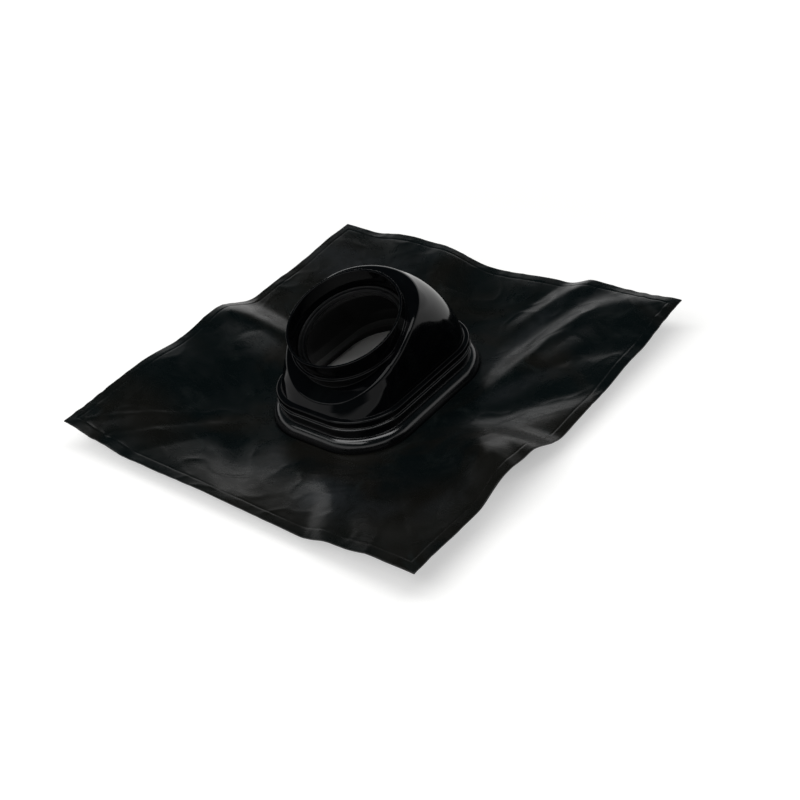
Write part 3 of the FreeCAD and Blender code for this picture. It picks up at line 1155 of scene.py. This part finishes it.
@dataclass(frozen=True)
class StudioCamera:
    """Camera on the line of sight that the object is seen along.

    Attributes:
        azimuth: degrees round the object from -Y towards +X.
        elevation: degrees above level.
        roll: degrees that the camera is turned about its line of sight.
        distance: metres from the origin, along the line of sight.
        aside: metres by which the camera stands to the right of that line.
        above: metres by which it stands above that line.
        lens: focal length, in millimetres.
        sensor: width of the sensor, in millimetres.
        near_clip: metres within which nothing is drawn.
    """

    azimuth: float = 44.14
    elevation: float = 35.42
    roll: float = -10.39
    distance: float = 1.5119
    aside: float = 0.0239334
    above: float = -0.0127934
    lens: float = 59.6682
    sensor: float = 36.0
    near_clip: float = 0.05

    def build(self) -> bpy.types.Object:
        """Adds the camera and makes it the scene's own."""
        angles = (self.azimuth, self.elevation, self.roll)
        azimuth, elevation, roll = (math.radians(value) for value in angles)
        back = Vector((math.sin(azimuth) * math.cos(elevation), -math.cos(azimuth) * math.cos(elevation),
                       math.sin(elevation)))
        level = Vector((math.cos(azimuth), math.sin(azimuth), 0))
        upright = back.cross(level)
        right = level * math.cos(roll) + upright * math.sin(roll)
        up = upright * math.cos(roll) - level * math.sin(roll)
        place = back * self.distance + right * self.aside + up * self.above
        data = bpy.data.cameras.new("camera")
        data.sensor_width = self.sensor
        data.lens = self.lens
        data.clip_start = self.near_clip
        camera = bpy.data.objects.new("camera", data)
        turned = Matrix((right, up, back)).transposed().to_4x4()
        camera.matrix_world = Matrix.Translation(place) @ turned
        bpy.context.scene.collection.objects.link(camera)
        bpy.context.scene.camera = camera
        return camera


@dataclass(frozen=True)
class Studio:
    """Pale floor, white backdrop that turns dark grey high overhead, and three soft lamps.

    Attributes:
        floor_size: side of the square floor, in metres.
        floor_drop: how far the floor lies under the object, in metres.
        floor_colour: its own colour.
        floor_lift: brightness added where the floor is seen.
        shade_radius: within this radius, under the object, nothing is added.
        shade_fade: width over which the lift comes in.
        near: from here on the lift grows towards 1.
        far: from here on it is 1.
        ambient: even light on the object.
        ceiling: the world's colour overhead.
        backdrop_low: upward part of the direction up to which the world is white.
        backdrop_high: upward part from which it is the ceiling.
        boxes: the lamps.
    """

    floor_size: float = 24.0
    floor_drop: float = 0.0003
    floor_colour: Colour = (0.60, 0.60, 0.59)
    floor_lift: float = 0.50
    shade_radius: float = 0.13
    shade_fade: float = 0.11
    near: float = 0.45
    far: float = 2.2
    ambient: float = 0.27
    ceiling: Colour = (0.030, 0.046, 0.048)
    backdrop_low: float = 0.30
    backdrop_high: float = 0.44
    boxes: tuple[Softbox, ...] = (
        Softbox("top_box", Vector((0.06, -0.10, 1.0)), 2.4, 3.3, 0.9, 4.4),
        Softbox("left_box", Vector((-0.47, -0.62, 0.60)), 2.4, 1.2, 0.4, 1.6),
        Softbox("front_box", Vector((0.02, -0.59, 0.80)), 2.4, 1.9, 0.7, 3.0),
    )

    def build_world(self) -> None:
        """World: white backdrop and grey ceiling wherever it is seen, even light elsewhere."""
        world = bpy.data.worlds.new("studio")
        bpy.context.scene.world = world
        tree = Tree(world, "ShaderNodeOutputWorld")
        upward = tree.height_of(tree.coordinates("Generated"))
        rise = tree.levels(upward, self.backdrop_low, self.backdrop_high)
        seen = tree.nodes.new("ShaderNodeBackground")
        tree.link(tree.blend(rise, (1.0, 1.0, 1.0), self.ceiling), seen.inputs["Color"])
        light = tree.nodes.new("ShaderNodeBackground")
        light.inputs["Strength"].default_value = self.ambient
        mixed = tree.nodes.new("ShaderNodeMixShader")
        tree.link(tree.shown(), mixed.inputs["Fac"])
        tree.link(light.outputs[0], mixed.inputs[1])
        tree.link(seen.outputs[0], mixed.inputs[2])
        tree.link(mixed.outputs[0], tree.surface)

    def floor_material(self) -> bpy.types.Material:
        """Pale floor that reads as white away from the object and keeps its shadow."""
        material = bpy.data.materials.new("studio_floor")
        tree = Tree(material, "ShaderNodeOutputMaterial")
        plain = tree.nodes.new("ShaderNodeBsdfDiffuse")
        plain.inputs["Color"].default_value = (*self.floor_colour, 1)
        distance = tree.length_of(tree.coordinates("Object"))
        shade_end = self.shade_radius + self.shade_fade
        outside = tree.levels(distance, self.shade_radius, shade_end, 0.0, self.floor_lift, smooth=False)
        away = tree.levels(distance, self.near, self.far, 0.0, 1 - self.floor_lift, smooth=False)
        glow = tree.nodes.new("ShaderNodeEmission")
        tree.link(tree.sum(tree.shown(), tree.sum(outside, away), "MULTIPLY"), glow.inputs["Strength"])
        both = tree.nodes.new("ShaderNodeAddShader")
        tree.link(plain.outputs[0], both.inputs[0])
        tree.link(glow.outputs[0], both.inputs[1])
        tree.link(both.outputs[0], tree.surface)
        return material

    def build(self) -> None:
        """Builds the world, the floor and the lamps."""
        bpy.context.scene.view_settings.view_transform = "Standard"
        self.build_world()
        mesh = bpy.data.meshes.new("studio_floor")
        half = self.floor_size / 2
        corners = [(x * half, y * half, -self.floor_drop) for x, y in SQUARE]
        mesh.from_pydata(corners, [], [(0, 1, 2, 3)])
        mesh.materials.append(self.floor_material())
        floor = bpy.data.objects.new("studio_floor", mesh)
        bpy.context.scene.collection.objects.link(floor)
        for box in self.boxes:
            box.build()


# ---------------------------------------------------------------- assembly


@dataclass
class FlashingBoot:
    """The whole boot: apron, base ring, hood and pipe seal."""

    outline: WallOutline
    mouth: Mouth

    def build(self) -> list[bpy.types.Object]:
        """Builds every piece in order.

        Returns:
            The pieces.
        """
        ring_gloss = MouldedGloss("ring_black", gloss_low=0.15, gloss_high=0.21, specular=0.54)
        hood_gloss = MouldedGloss("hood_black")
        pieces = [
            Apron(self.outline).build(DressedSheet("dressed_sheet").build()),
            BaseRing(self.outline).build(ring_gloss.build()),
            Hood(self.outline, self.mouth).build(hood_gloss.build()),
            PipeSeal(self.mouth).build(SealRubber("seal_rubber").build()),
        ]
        for piece in pieces:
            mesh = piece.data
            LOG.info("%s: %d vertices, %d faces", piece.name, len(mesh.vertices), len(mesh.polygons))
        return pieces


def main() -> None:
    """Builds the studio and the boot, and reports each piece."""
    logging.basicConfig(level=logging.INFO, format="%(name)s %(message)s")
    StudioCamera().build()
    Studio().build()
    FlashingBoot(WallOutline(), Mouth()).build()


if __name__ == "__main__":
    main()
